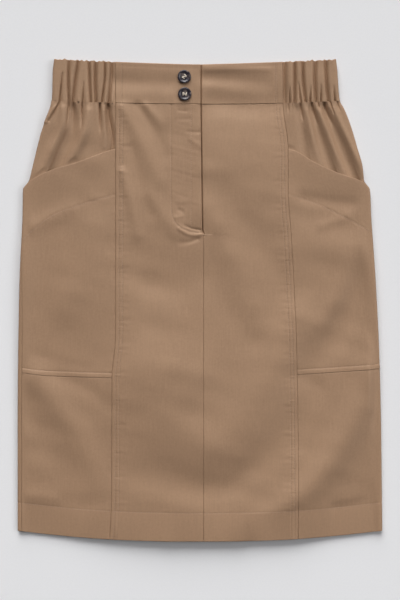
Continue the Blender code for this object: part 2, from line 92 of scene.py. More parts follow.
LEAST_HEIGHT = 1.9       # of a hip's outside over the floor, in its deepest gathers
LEAST_BAND_HEIGHT = 3.0  # and of the elastic band's
LEAST_FRONT_HEIGHT = 4.1     # of the front over the floor, in its deepest troughs
GATHER_PUFF = 2.4        # how far the gathered cloth puffs up beside the band's seam
MOUTH_BULGE = 1.8        # how far the gathers hold a pocket's mouth up
MOUTH_REACH = 60.0       # how far below its mouth the pocket is held up

# Seams that run down the skirt, as points (y, x), and the side seams, as points (y, s).
PRINCESS = {
    "right": [(-321, -120.4), (-267, -117.9), (-104, -117.1), (-53, -112.9), (321, -112.5)],
    "left": [(-321, 130.7), (-200, 130.7), (-99, 129.3), (0, 125.9), (80, 121.6), (147, 117.3),
             (200, 117.3), (261, 110.7), (321, 110.0)],
}
CENTRE = [(-321, 4.7), (86, 4.7), (92, 2.7), (261, 0.7), (321, 0.7)]
SIDE_SEAM = {
    "right": [(-321, -2.4), (-80, -2.4), (73, 1.6), (95, 4.5), (147, 6.5), (321, 6.5)],
    "left": [(-321, 1.5), (-290, 2.5), (-200, 6.5), (321, 6.5)],
}

# Edges that run across the skirt, as points (x, y).
MOUTH = {
    "right": [(-237, 146.5), (-234.4, 149.9), (-227.6, 157.5), (-198.7, 172.8), (-164.7, 182.9),
              (-120.4, 199.2), (-112, 201.5)],
    "left": [(117, 200.5), (124, 199.3), (153.3, 182.7), (186.7, 168), (218, 156.7),
             (225.7, 148.5), (228, 146)],
}
POCKET_FOOT = {
    "right": [(-243, -96.5), (-200, -101.3), (-112, -104)],
    "left": [(125, -99.8), (186.7, -96), (243, -91.5)],
}

# Rows of stitches: the pockets' facings and the curved row round the fly, as points (x, y), rows
# beside a seam, as distances from it, and where rows run down from and to, as y.
FACING = {
    "right": [(-235.5, 81), (-222, 93), (-198.7, 112), (-164.7, 125.3), (-113.3, 140.5)],
    "left": [(118, 140.5), (153.3, 129.3), (186.7, 113.3), (229.5, 90.5)],
}
FLY_STITCH = [(-38.7, 262), (-38.7, 180), (-38.5, 120), (-36, 108.5), (-31.5, 101), (-24.5, 95),
              (-16, 92), (-7, 90.4), (1.5, 89.6)]
FLY_INNER_X = -11.8      # the fly's inner row
TOPSTITCH = (5.0, 9.6)   # the two rows beside a princess seam
BAND_STITCH = {"right": (8.5,), "left": (8, 10.3)}
POCKET_STITCH = 6.5      # above a pocket's lower seam
PANEL_SPAN = (259, -319)
FLY_SPAN = (259, 93)
BAND_SPAN = (316, 262)
HEM_ROW_Y = HEM_TURN - HALF_LENGTH
STITCH_LENGTH = 2.7
STITCH_PITCH = 3.2
THREAD_RADIUS = 0.26
# A stitch's rings: a share of its length, the height over the cloth and a share of the radius.
STITCH_RINGS = [(0, -0.22, 0.6), (0.15, 0.02, 1), (0.5, 0.12, 1), (0.85, 0.02, 1), (1, -0.22, 0.6)]
RING_POINTS = 6

# A fold runs along its path: a ridge, or a trough where it rises by less than nothing. Its rise
# and its width, the half width of a soft round ridge, change evenly from start to end, and swell
# is what it rises by besides in the middle of its path.
Fold = namedtuple("Fold", "path rise end_rise width end_width swell", defaults=(0.0,))
BODY_FOLDS = [
    # the centre panels under the band
    Fold([(-103, 256), (-92, 237), (-79, 212), (-67, 187), (-55, 160)], 1.8, 1.5, 8, 12),
    Fold([(-83, 259), (-69, 239), (-57, 217), (-45, 192)], -1.3, -0.8, 5.3, 9),
    Fold([(-72, 259), (-63, 248), (-52, 235)], 1.2, 0.6, 4.7, 7),
    Fold([(-92, 203), (-84, 173), (-75, 141), (-65, 115)], -0.9, -0.9, 7, 9),
    Fold([(-103, 171), (-96, 144), (-89, 117), (-83, 88)], 1.8, 1, 6, 8),
    Fold([(-67, 139), (-51, 115), (-31, 91)], 1.3, 1.5, 12, 12),
    Fold([(48, 197), (85, 187)], 3.4, 3, 39, 37),
    Fold([(53, 137), (104, 128)], 2.2, 1.8, 40, 37),
    Fold([(21, 261), (101, 261)], -2.8, -2.5, 19, 17),
    Fold([(11, 173), (35, 172)], 1, 0.7, 11, 12),
    Fold([(37, 139), (64, 101), (89, 64), (112, 13)], -0.9, -0.9, 15, 16),
    Fold([(11, 120), (35, 72), (57, 27), (81, -29)], 2.2, 1, 16, 19),
    Fold([(16, 27), (37, -16), (67, -56)], -1, -0.8, 17, 17),
    # the wide mound over the middle, and the valley and the ridge that run round below it
    Fold([(-72, 49), (-40, 47), (-13, 37)], -1.8, -1.5, 35, 33),
    Fold([(-67, -91), (-21, -100)], 5.2, 4.4, 41, 39),
    Fold([(-67, 20), (-32, 15)], -2.6, -1.9, 23, 23),
    Fold([(-99, -123), (-67, -149), (-37, -168), (-5, -187), (21, -195), (53, -173), (76, -136),
          (92, -99), (111, -61), (131, -27)], 2.2, 3.8, 40, 24, 1),
    Fold([(-107, -229), (-53, -235), (0, -251), (35, -248), (69, -227), (101, -197), (128, -160),
          (149, -120)], -1, -1, 23, 21, -2.1),
    Fold([(67, -323), (101, -296), (128, -280)], -2, -0.5, 12, 12),
    Fold([(51, -316), (83, -296)], 1, 1, 9, 9),
    Fold([(-104, -301), (-67, -303)], -1, -0.8, 7, 7),
    Fold([(-45, -321), (-5, -303)], 1.2, 1, 9, 9),
    # the left lower panel and pocket
    Fold([(237, -69), (221, -123), (201, -171), (175, -216), (136, -259), (91, -291),
          (48, -299)], 4.6, 1.4, 19, 19, 2.6),
    Fold([(232, -107), (205, -171), (176, -227), (139, -269)], 2.2, 1.6, 40, 35),
    Fold([(11, -283), (-13, -277), (-47, -265), (-93, -255)], 0.4, 0.6, 16, 17),
    Fold([(155, -117), (141, -152), (133, -192)], -1.2, -1.2, 13, 13),
    Fold([(179, -325), (208, -315), (235, -293)], -3, -4.6, 32, 37),
    Fold([(181, -277), (216, -272)], -1.3, -1.3, 7, 7),
    Fold([(179, -299), (219, -292)], -1.1, -1.1, 5.3, 5.3),
    Fold([(197, 67), (192, 37), (183, 5), (168, -21), (151, -41)], 0.6, 0.8, 12, 13, 1.6),
    Fold([(221, 51), (213, 21), (203, -5), (188, -35), (168, -61), (144, -99)], -0.6, -2.2, 12, 19, -1.6),
    Fold([(133, 75), (173, 69), (219, 67)], 2.2, 2.4, 23, 23),
    Fold([(136, 136), (173, 131), (203, 128)], -1.2, -0.9, 8, 8),
    Fold([(163, 99), (195, 111)], 1, 0.9, 8, 8),
    # the right pocket and lower panel
    Fold([(-219, -104), (-205, -121), (-184, -149), (-160, -180), (-144, -216),
          (-136, -247)], 2.6, 1.6, 16, 19),
    Fold([(-189, -101), (-163, -112), (-133, -128), (-120, -141)], -1.1, -0.8, 11, 11),
    Fold([(-235, -139), (-208, -184), (-187, -229)], -1.5, -1.2, 17, 20),
    Fold([(-219, -72), (-184, -85), (-147, -91)], -0.5, -0.4, 8, 8),
    Fold([(-144, 99), (-152, 51), (-171, -8)], 2.4, 2, 20, 23),
    Fold([(-221, 99), (-197, 109), (-173, 120)], 1.6, 1.4, 11, 12),
    Fold([(-208, -48), (-181, -53), (-147, -61)], -1.2, -1, 45, 40),
    Fold([(-144, 139), (-125, 133)], 0.4, 0.4, 7, 7),
    Fold([(-235, -259), (-197, -263)], 0.8, 0.8, 9, 9),
    Fold([(-235, -279), (-189, -281)], -1, -0.9, 8, 8),
    Fold([(-237, -325), (-205, -328), (-171, -331)], -4.2, -2.2, 40, 32),
    Fold([(-160, -283), (-123, -280)], 0.7, 0.7, 8, 8),
    # the plain bands
    Fold([(-112, 291), (-72, 289), (-40, 288)], -2.2, -1.6, 11, 11),
    Fold([(8, 295), (51, 293), (85, 289)], -2.4, -1.4, 9, 11),
    Fold([(7, 308), (53, 308), (91, 307)], 1, 0.7, 4.7, 4.7),
]
HIP_FOLDS = {
    "right": [
        Fold([(-186.7, 266.7), (-195.3, 253.3), (-204.7, 237.3)], 2.2, 1.4, 2, 2.4),
        Fold([(-181.3, 256), (-182.7, 232), (-190.7, 213.3), (-200, 192),
              (-209.3, 169.3)], 2, 5.4, 5.9, 7.2),
        Fold([(-169.3, 256), (-168, 237.3), (-174.7, 216), (-185.3, 192),
              (-197.3, 168)], -1.6, -6.8, 5.9, 7.2, -1.2),
        Fold([(-148, 262.7), (-150.7, 232), (-157.3, 210.7), (-166.7, 192),
              (-177.3, 168)], 1.2, 5.4, 6.1, 7.2, 1.6),
        Fold([(-138.7, 256), (-141.3, 218.7), (-149.3, 186.7)], 0.5, 1.6, 6.7, 8),
        Fold([(-128, 262.7), (-126.7, 240), (-126.7, 221.3), (-129.3, 197.3)], 2, 1.2, 3.2, 4.5),
        Fold([(-122.7, 266.7), (-121.3, 240), (-117.3, 208), (-118.7, 192)], -2.2, -3.6, 5.3, 5.3),
    ],
    "left": [
        Fold([(128.7, 264), (132, 245.3), (135.3, 226.7), (137.3, 210.7),
              (140, 186.7)], -1.8, -2.6, 4.5, 5.9),
        Fold([(138.7, 265.3), (143.3, 248), (147.3, 226.7), (150.7, 210.7),
              (157.3, 178.7)], 1.4, 3.4, 4.3, 6.1),
        Fold([(143.3, 265.3), (149.3, 246.7), (156.7, 226.7), (161.3, 210.7), (166.7, 194.7),
              (178.7, 162.7)], -2, -4, 4.3, 5.9),
        Fold([(153.3, 265.3), (160, 248), (168.7, 226.7), (176, 208), (182.7, 189.3),
              (194.7, 157.3)], 1.6, 4, 4.3, 6.1),
        Fold([(159.3, 265.3), (168.7, 246.7), (178, 226.7), (185.3, 208), (193.3, 189.3),
              (206.7, 157.3)], -2, -4.4, 4.5, 6.4),
        Fold([(172, 265.3), (180.7, 248), (190.7, 226.7), (198.7, 210.7), (208, 189.3),
              (220, 160)], 1.6, 4.2, 4, 5.9),
    ],
}
HIP_CREASES = {
    "right": [
        Fold([(-183.3, 272), (-190.7, 256), (-201.3, 238.7)], -4, -1.5, 1.6, 1.9),
        Fold([(-174.7, 272), (-174.9, 256), (-177.3, 229.3)], -6, -0.3, 1.6, 2.5),
        Fold([(-169.6, 272), (-168.8, 253.3), (-170.7, 221.3)], -8, -0.3, 1.9, 3.5),
        Fold([(-157.3, 272), (-156.7, 256), (-158, 226.7)], -6, -0.2, 1.7, 2.1),
        Fold([(-133.6, 272), (-133.3, 253.3), (-132.7, 221.3)], -8, -0.2, 1.7, 2.1),
        Fold([(-122.7, 272), (-122.7, 250.7), (-120.8, 238.7), (-118, 224), (-116.3, 209.3),
              (-118.7, 196)], -14, -12, 2.1, 2.5),
    ],
    "left": [
        Fold([(117.3, 272), (118, 248)], -5, -0.2, 1.5, 1.9),
        Fold([(125.3, 272), (126, 253.3)], -4, -0.2, 1.3, 1.6),
        Fold([(133.3, 272), (134, 256), (137.3, 237.3)], -8, -0.3, 1.9, 2.5),
        Fold([(146.7, 272), (150, 253.3), (157.3, 232)], -8.5, -0.3, 1.9, 2.9),
        Fold([(154.7, 272), (160, 250.7)], -6, -0.2, 1.3, 1.7),
        Fold([(162.7, 272), (166.7, 253.3), (177.3, 232)], -9, -0.3, 2.1, 3.2),
        Fold([(171.3, 270.7), (178.7, 245.3)], -6, -0.2, 1.3, 1.7),
        Fold([(180, 270.7), (186.7, 250.7)], -5, -0.2, 1.3, 1.7),
    ],
}
BAND_FOLDS = {
    "right": [
        Fold([(-183, 301), (-184.5, 290), (-187.2, 262)], -1.5, -6, 1.3, 1.5),
        Fold([(-174, 323), (-175.7, 300), (-174.5, 262)], -7, -8.5, 1.7, 1.5),
        Fold([(-161, 323), (-165, 300), (-167, 285), (-170, 262)], -9, -9, 1.7, 1.7),
        Fold([(-148.3, 323), (-147, 295), (-145.2, 262)], -7.5, -8, 1.5, 1.7),
        Fold([(-138.8, 323), (-140, 290), (-138.5, 262)], -10, -10, 1.7, 1.8),
        Fold([(-127.3, 323), (-126, 295), (-131, 262)], -5, -6.5, 1.5, 1.5),
        Fold([(-118, 323), (-117.3, 301), (-121.5, 262)], -9.5, -9.5, 1.6, 1.8),
        Fold([(-155, 290), (-156.5, 262)], -0.5, -5, 1.2, 1.5),
    ],
    "left": [
        Fold([(112.4, 323), (112.6, 262)], -9, -8.5, 1.5, 1.6),
        Fold([(119.3, 285), (119.5, 262)], -0.3, -5.5, 1.2, 1.5),
        Fold([(126, 323), (126.4, 290), (126.1, 262)], -9, -9.5, 1.5, 1.7),
        Fold([(130.9, 289), (134.7, 262)], -0.6, -5.5, 1.3, 1.5),
        Fold([(136.7, 323), (137.3, 291), (140.8, 262)], -9, -9, 1.5, 1.6),
        Fold([(147.6, 284), (146.7, 262)], -0.6, -6, 1.3, 1.5),
        Fold([(154, 323), (152.4, 295), (154.5, 262)], -10, -10, 1.7, 1.7),
        Fold([(160.8, 286), (160.9, 262)], -0.6, -5.5, 1.3, 1.5),
        Fold([(167, 323), (168.4, 290), (170.8, 262)], -10, -9.5, 1.7, 1.7),
        Fold([(178, 284), (180, 262)], -0.6, -5.5, 1.3, 1.5),
    ],
}
FLY_FOLDS = [
    Fold([(-20, 98.5), (-10, 94.5), (0, 93)], -0.6, -1.2, 2, 1.6),
    Fold([(-28, 95), (-18, 87.5), (-6, 85.5), (2, 87)], 0.8, 0.8, 2.6, 2.2),
    Fold([(-25, 76), (-14, 77), (-3, 81)], -0.5, -0.9, 3.5, 2.5),
    Fold([(-28, 252), (-18, 251)], -0.5, -0.4, 2, 2),
    Fold([(-32, 240), (-14, 241)], -0.25, -0.25, 2.5, 2.5),
    Fold([(-16, 224), (0, 223)], -0.3, -0.6, 2.5, 2.5),
    Fold([(-13, 214), (0, 205)], 0.5, 0.5, 3.5, 4),
    Fold([(-28, 120), (-24, 118)], -0.5, -0.5, 2.6, 2.6),
    Fold([(-30, 131), (-20, 130)], 0.4, 0.4, 3, 3),
    Fold([(-32, 110), (-24, 111)], 0.4, 0.4, 2.6, 2.6),
]

TWILL_COLOUR = (0.318, 0.194, 0.117)
THREAD_COLOUR = (0.32, 0.205, 0.132)
HORN_STOPS = [(0.57, (0.019, 0.014, 0.022)), (0.72, (0.20, 0.15, 0.13))]     # by its clouds
BUTTON_THREAD_COLOUR = (0.62, 0.54, 0.44)
FLOOR_COLOUR = (0.78, 0.78, 0.79)


def curve(points):
    """Return a smooth function through (at, value) points that doesn't overshoot them."""
    ats, values = np.array(points, float).T
    spans = np.diff(ats)
    rises = np.diff(values) / spans
    turning = rises[:-1] * rises[1:] <= 0
    total = np.where(turning, 1, rises[:-1] + rises[1:])
    inner = np.where(turning, 0, 2 * rises[:-1] * rises[1:] / total)
    slopes = np.concatenate([rises[:1], inner, rises[-1:]])

    def read(at):
        at = np.clip(at, ats[0], ats[-1])
        i = np.clip(np.searchsorted(ats, at, side="right") - 1, 0, len(spans) - 1)
        t = (at - ats[i]) / spans[i]
        eased = t * t * (3 - 2 * t)
        lead = t * (1 - t) ** 2 * slopes[i]
        trail = t * t * (t - 1) * slopes[i + 1]
        return values[i] + (values[i + 1] - values[i]) * eased + (lead + trail) * spans[i]

    return read


def section_curve(column):
    return curve([(section.y, getattr(section, column)) for section in SECTIONS])


left_edge = section_curve("left")
right_edge = section_curve("right")
roll_radius = section_curve("roll")
crown_height = section_curve("crown")
puff_height = section_curve("puff")
princess, side_seam, mouth, pocket_foot, facing = (
    {name: curve(points) for name, points in table.items()}
    for table in (PRINCESS, SIDE_SEAM, MOUTH, POCKET_FOOT, FACING))


def centre(y):
    """The fly's edge, and the centre seam below it, as x for y."""
    return np.interp(y, *zip(*CENTRE))


def blend(start, end, k):
    return start + (end - start) * k


def share(start, end, at):
    """How far along from start to end a value is, from 0 to 1."""
    return np.clip((at - start) / (end - start), 0, 1)


def ease(start, end, at):
    """Rise smoothly from 0 where at is start to 1 where it is end."""
    k = share(start, end, at)
    return k * k * (3 - 2 * k)


def bump(distance, width):
    """A soft round hump, 1 at distance 0."""
    return np.exp(-(distance / width) ** 2)


def pinched(distance, width):
    """A steep crease with soft shoulders, 1 at distance 0."""
    return 0.35 * bump(distance, 1.6 * width) + 0.65 * np.clip(1 - distance / width, 0, 1) ** 1.2


def pressed(height, ceiling, softness=0.2):
    """The height, kept smoothly under a ceiling."""
    return -softness * np.logaddexp(-height / softness, -ceiling / softness)


def shifted(edge, step):
    return lambda at: edge(at) + step


def waist_edge(x):
    return HALF_LENGTH - 7.3 * (1 - np.minimum(abs(x + 2) / 190, 1) ** 1.3)


def band_seam(x):
    return 265.3 - 4.6 * (1 - (x / 195) ** 2)


def hem_edge(x):
    return -HALF_LENGTH + 13.3 * np.minimum(abs(x) / HALF_WIDTH, 1) ** 2.5


def smooth_path(points):
    """The path with its corners cut, twice."""
    points = np.array(points, float)
    for _ in range(2 if len(points) > 2 else 0):
        near = blend(points[:-1], points[1:], 0.25)
        far = blend(points[:-1], points[1:], 0.75)
        middle = np.stack([near, far], 1).reshape(-1, 2)[1:-1]
        points = np.concatenate([points[:1], middle, points[-1:]])
    return points


def path_places(path, x, y):
    """How far points are from a path, and how far along it that is, from 0 to 1."""
    runs = np.diff(path, axis=0)
    nearest, along = np.full(x.shape, np.inf), np.zeros(x.shape)
    done = 0
    for (x_0, y_0), (run_x, run_y), length in zip(path, runs, np.hypot(*runs.T)):
        k = np.clip(((x - x_0) * run_x + (y - y_0) * run_y) / length ** 2, 0, 1)
        away = np.hypot(x - x_0 - k * run_x, y - y_0 - k * run_y)
        along = np.where(away < nearest, done + k * length, along)
        nearest = np.minimum(away, nearest)
        done += length
    return nearest, along / done


def fold_height(folds, x, y, profile=bump):
    """The sum of the folds' heights at points of the cloth."""
    height = np.zeros(x.shape)
    for fold in folds:
        path = smooth_path(fold.path)
        reach = 3 * max(fold.width, fold.end_width)
        low, high = path.min(0) - reach, path.max(0) + reach
        near = (x > low[0]) & (x < high[0]) & (y > low[1]) & (y < high[1])
        away, t = path_places(path, x[near], y[near])
        rise = blend(fold.rise, fold.end_rise, t) + fold.swell * 4 * t * (1 - t)
        height[near] += rise * profile(away, blend(fold.width, fold.end_width, t))
    return height


def ripple(at, pitch, seed):
    """Uneven waves of about one pitch, between -1 and 1."""
    random = np.random.default_rng(seed)
    waves = np.zeros(np.shape(at))
    for stretch in (0.77, 1.0, 1.37, 2.3):
        waves += np.sin(2 * math.pi * (at / (pitch * stretch) + random.random()))
    return waves / 4


def crumple(x, y):
    """Faint uneven dents all over a worn cotton, in two sizes."""
    broad = 1.0 * ripple(0.9 * x + 0.45 * y, 62, 91) * ripple(y - 0.35 * x, 55, 92)
    small = 0.14 * ripple(x - 0.5 * y, 21, 93) * ripple(0.8 * y + 0.6 * x, 17, 94)
    return broad + small


def hinge(side, y):
    """The middle of a side's roll, as x."""
    return np.where(side < 0, left_edge(y), right_edge(y)) - side * roll_radius(y)


def tube(y, side, s, lift=0.0):
    """The points of the tube at spots, moved out from the cloth by lift."""
    roll = roll_radius(y)
    turn = np.clip(s / roll, 0, math.pi)
    along = s - turn * roll
    out, up = np.sin(turn), np.cos(turn)
    reach = (roll + lift) * (out ** SQUARENESS + abs(up) ** SQUARENESS) ** (-1 / SQUARENESS)
    x = hinge(side, y) + side * reach * out + side * np.where(s < 0, along, -along)
    middle = (hinge(-1, y) + hinge(1, y)) / 2
    across = np.clip(abs(x - middle) / (hinge(1, y) - middle), 0, 1)
    crown = crown_height(y) * (1 - across ** 2) ** 2
    creases = (fold_height(BODY_FOLDS, x, y) + crumple(x, y)) * ease(1, 0.94, across)
    puff = puff_height(y) * np.where(s < 0, bump(s, PUFF_REACH), (1 + up) / 2)
    smooth = roll + reach * up + puff + np.where(s < 0, crown, 0)
    creases = -pressed(-creases, smooth - lift - LEAST_FRONT_HEIGHT, 0.8)
    return np.stack([x, y, smooth + np.where(s < 0, creases, 0)], -1)


def on_front(x, y):
    """The spot on the front at x."""
    return -1, hinge(-1, y) - x


def on_side(side):
    return lambda s, y: (side, s)


def round_back(at, y):
    """The spot at a signed distance along the back from the middle of the skirt."""
    side = np.where(at < 0, -1, 1)
    return side, math.pi * roll_radius(y) + abs(hinge(side, y)) - abs(at)


def back_end(name, s):
    """The distance along the back, for round_back, of a side's s as a function of y."""
    side = SIDE_OF[name]
    return lambda y: side * (math.pi * roll_radius(y) + abs(hinge(side, y)) - s(y))


def front_end(name, line):
    """The distance s of the front's line x for y."""
    side = SIDE_OF[name]
    return lambda y: side * (line(y) - hinge(side, y))


def fading(s, y):
    """1 on the front, falling to 0 round the roll, so that the back stays flat."""
    return (1 + np.cos(np.clip(s / roll_radius(y), 0, math.pi))) / 2


panel_top = shifted(band_seam, -SEAM_GAP)
# Where the cloths on both sides of a princess seam end: the front's as x, the side's as s.
inner_seam = {name: shifted(princess[name], -side * SEAM_GAP / 2) for name, side in SIDE_OF.items()}
outer_seam = {name: front_end(name, shifted(princess[name], side * SEAM_GAP / 2))
              for name, side in SIDE_OF.items()}


def stations(starts, count, ends):
    """Where a grid has its lines: shares of the way from one edge to the other, and steps in
    from the nearer edge. starts and ends are distances from the two edges."""
    starts, ends = np.array(starts, float), np.array(ends, float)[::-1]
    inner = np.arange(1, count) / count
    shares = np.concatenate([np.zeros(len(starts)), inner, np.ones(len(ends))])
    steps = np.concatenate([starts, blend(starts[-1], -ends[0], inner), -ends])
    return shares, steps


def dense(first, last, step):
    """More distances from an edge, evenly spaced, for finer relief there."""
    return list(np.arange(first, last, step))


def close_to(*rows):
    """Distances from an edge for its rim and for stitch rows that run along it."""
    steps = {0.0, 0.15, 0.4, 0.75, 1.2, 2.2}
    for row in rows:
        steps |= {row + step for step in (-1.6, -0.8, -0.35, 0, 0.35, 0.8, 1.6)}
    return sorted(step for step in steps if step >= 0)


FRONT_ROWS = stations(close_to(), 560, close_to(HEM_TURN))
BAND_ROWS = stations(close_to(), 34, close_to())
ROLL_STEPS = [0, 0.15, 0.4, 0.75, 1.2, 2, 3, 4, 5, 6, 7, 8]
SOLVING_ROUNDS = 14
Grid = namedtuple("Grid", "x y side s weave")


def lay_out(spot, upper, lower, first, last, rows, columns):
    """Solve a piece's grid: upper and lower are edges y for x, first and last are the other
    two as the spot's coordinate for y."""
    row_shares, row_steps = (line[:, None] for line in rows)
    shares, steps = (line[None, :] for line in columns)
    x = np.zeros((row_shares.size, shares.size))
    for _ in range(SOLVING_ROUNDS):
        y = blend(upper(x), lower(x), row_shares) - row_steps
        start, end = first(y), last(y)
        at = blend(start, end, shares) + steps * np.sign(end - start)
        side, s = (np.broadcast_to(value, y.shape) for value in spot(at, y))
        x = tube(y, side, s)[..., 0]
    return Grid(x, y, side, s, np.stack([at, y], -1))


def from_edges(points):
    """How far each point of a grid is along the cloth from the grid's four edges."""
    across = np.linalg.norm(np.diff(points, axis=1), axis=-1)
    down = np.linalg.norm(np.diff(points, axis=0), axis=-1)
    start = np.pad(np.cumsum(across, 1), ((0, 0), (1, 0)))
    top = np.pad(np.cumsum(down, 0), ((1, 0), (0, 0)))
    return {"start": start, "end": start[:, -1:] - start, "top": top, "foot": top[-1:] - top}


def edge_drop(distance):
    """How far a turned edge falls away, at a distance from the edge."""
    inner = EDGE - np.minimum(distance, EDGE)
    return EDGE - np.sqrt(EDGE ** 2 - inner ** 2)


def new_mesh(name, points, faces):
    """A mesh of points in millimetres, whose faces are turned to look outwards."""
    mesh = bpy.data.meshes.new(name)
    mesh.from_pydata((points * MM).tolist(), [], faces)
    shape = bmesh.new()
    shape.from_mesh(mesh)
    bmesh.ops.recalc_face_normals(shape, faces=shape.faces)
    shape.to_mesh(mesh)
    shape.free()
    return mesh


def place(name, data):
    """A new object in the scene."""
    obj = bpy.data.objects.new(name, data)
    bpy.context.scene.collection.objects.link(obj)
    return obj


def new_piece(name, mesh, material, at=(0, 0, 0), turn=0.0):
    """A smooth object of the part, in one material."""
    mesh.materials.append(material)
    mesh.shade_smooth()
    piece = place(name, mesh)
    piece.location = at
    piece.rotation_euler.z = turn
    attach(piece, "root")
    return piece


def grid_faces(numbers):
    """The faces between a grid of point numbers."""
    return np.stack([numbers[:-1, :-1], numbers[:-1, 1:], numbers[1:, 1:], numbers[1:, :-1]],
                    -1).reshape(-1, 4).tolist()


def every(count, step):
    """Every so many of a count of lines, and always the last."""
    return np.unique(np.append(np.arange(0, count, step), count - 1))


def rim_faces(outer, inner, kept):
    """The faces that join a fine edge of the outside to the same edge of the inside, whose
    points are fewer: kept are the outer points that it has."""
    outer, inner = outer.tolist(), inner.tolist()
    return [outer[a:b + 1] + [inner[k + 1], inner[k]]
            for k, (a, b) in enumerate(zip(kept[:-1], kept[1:]))]


INSIDE_STEP = 3          # the inside of a piece keeps every third line of its grid
SHARP_EDGE = 55          # degrees between two faces


def cloth(node, grid, relief, thickness=CLOTH, turned=("start", "end", "top", "foot")):
    """Build a piece's closed shell, with turned edges where two cloths meet."""
    lift = relief(grid)
    edges = from_edges(tube(grid.y, grid.side, grid.s))
    wall = np.broadcast_to(thickness, lift.shape)
    inner = tube(grid.y, grid.side, grid.s, lift - wall)
    for edge in turned:
        lift = lift - edge_drop(edges[edge]) * np.minimum(wall * 0.8, 1)
    outer = tube(grid.y, grid.side, grid.s, lift)
    rows, columns = (every(count, INSIDE_STEP) for count in lift.shape)
    kept = np.ix_(rows, columns)
    outside = np.arange(lift.size).reshape(lift.shape)
    inside = lift.size + np.arange(rows.size * columns.size).reshape(rows.size, columns.size)
    faces = grid_faces(outside) + grid_faces(inside)
    for edge in (0, -1):
        faces += rim_faces(outside[edge], inside[edge], columns)
        faces += rim_faces(outside[:, edge], inside[:, edge], rows)
    points = np.concatenate([outer.reshape(-1, 3), inner[kept].reshape(-1, 3)])
    places = np.concatenate([grid.weave.reshape(-1, 2), grid.weave[kept].reshape(-1, 2)])
    mesh = new_mesh(node + "_cloth", points, faces)
    point_of = np.zeros(len(mesh.loops), int)
    mesh.loops.foreach_get("vertex_index", point_of)
    weave = mesh.uv_layers.new(name="weave")
    weave.uv.foreach_set("vector", (places[point_of] * MM).astype(np.float32).ravel())
    mesh.set_sharp_from_angle(angle=math.radians(SHARP_EDGE))
    piece = new_piece(node + "_cloth", mesh, twill)
    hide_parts(node)
    return piece


Cut = namedtuple("Cut", "width length area held rests_on")


def run_along(line):
    """How far along a line each of its points is."""
    return np.concatenate([[0], np.cumsum(np.linalg.norm(np.diff(line, axis=0), axis=1))])


def read_line(values, along, at):
    """The values that a line's points have, read at distances along it."""
    return np.stack([np.interp(at, along, column) for column in values.T], -1)


def walk(points):
    """Places a millimetre apart along a smooth path."""
    path = smooth_path(points)
    along = run_along(path)
    return read_line(path, along, np.arange(0, along[-1]))


def line_down(line, y_top, y_foot):
    """Places a millimetre apart down the front along x = line(y)."""
    y = np.arange(y_top, y_foot, -1.0)
    return np.stack([line(y), y], -1)


def line_across(edge, x_start, x_end):
    """Places a millimetre apart across the front along y = edge(x)."""
    x = np.arange(x_start, x_end, np.sign(x_end - x_start))
    return np.stack([x, edge(x)], -1)


def hem_row(x_start, x_end):
    return line_across(shifted(hem_edge, HEM_TURN), x_start, x_end)


def seam_rows(name, insets, span):
    """Rows of stitches beside a princess seam, on the front's side of it."""
    return [line_down(shifted(princess[name], -SIDE_OF[name] * inset), *span) for inset in insets]


def side_places(name, path):
    """Places (s, y) of a path that is given as (x, y) on the front."""
    side = SIDE_OF[name]
    x, y = path.T
    return np.stack([side * (x - hinge(side, y)), y], -1)


def row_on(spot, relief, path):
    """A row of stitches' 3-D line and its outward directions, from places (at, y)."""
    at, y = path.T
    side, s = (np.broadcast_to(value, y.shape) for value in spot(at, y))
    lift = relief(Grid(tube(y, side, s)[:, 0], y, side, s, None))
    line = tube(y, side, s, lift)
    return line, tube(y, side, s, lift + 1) - line


def unit(vectors):
    return vectors / np.linalg.norm(vectors, axis=-1, keepdims=True)


def rings_round(middle, across, up, radius):
    """Rings of points round places, in the plane of two directions."""
    angles = 2 * math.pi * np.arange(RING_POINTS)[:, None] / RING_POINTS
    ring = np.cos(angles) * across[..., None, :] + np.sin(angles) * up[..., None, :]
    return middle[..., None, :] + radius * ring


def rods(name, rings, material):
    """One piece of closed rods, from their rings of points."""
    numbers = np.arange(rings[..., 0].size).reshape(rings.shape[:3])
    faces = []
    for rod in numbers:
        faces += grid_faces(np.concatenate([rod, rod[:, :1]], 1))
        faces += [rod[0].tolist(), rod[-1].tolist()]
    return new_piece(name, new_mesh(name, rings.reshape(-1, 3), faces), material)


def stitches(name, *rows, radius=THREAD_RADIUS):
    """One piece of all the stitches along rows of (spot, relief, path)."""
    ring_at, ring_height, thickness = np.array(STITCH_RINGS).T
    rings = []
    for row in rows:
        line, outward = row_on(*row)
        along = run_along(line)
        starts = np.arange(0.3, along[-1] - STITCH_LENGTH, STITCH_PITCH)
        at = starts[:, None] + STITCH_LENGTH * ring_at
        up = read_line(outward, along, at)
        middle = read_line(line, along, at) + up * ring_height[:, None]
        ahead = unit(read_line(line, along, at + 0.2) - read_line(line, along, at - 0.2))
        rings.append(rings_round(middle, np.cross(up, ahead), up, radius * thickness[:, None, None]))
    return rods(name, np.concatenate(rings), thread)


def groove(away, depth, width=0.8):
    """The groove that a row of stitches pulls into the cloth."""
    return -depth * bump(away, width)


def puckers(rise, along, pitch, seed, away, reach):
    """Uneven waves along a seam, which fade out away from it."""
    return rise * ripple(along, pitch, seed) * bump(away, reach)


def topstitched(inset, along, seed):
    """The allowance that is stitched down beside a princess seam, with its grooves and puckers."""
    ridge = 0.25 * ease(0, 1.5, inset) * ease(ALLOWANCE + 3, ALLOWANCE - 1, inset)
    rows = sum(groove(inset - row, 0.32) for row in TOPSTITCH)
    return (ridge + rows + puckers(0.2, along, 4.6, seed, inset - 6.8, 3.6)
            + puckers(0.16, along, 10, seed + 1, inset - 13, 6))


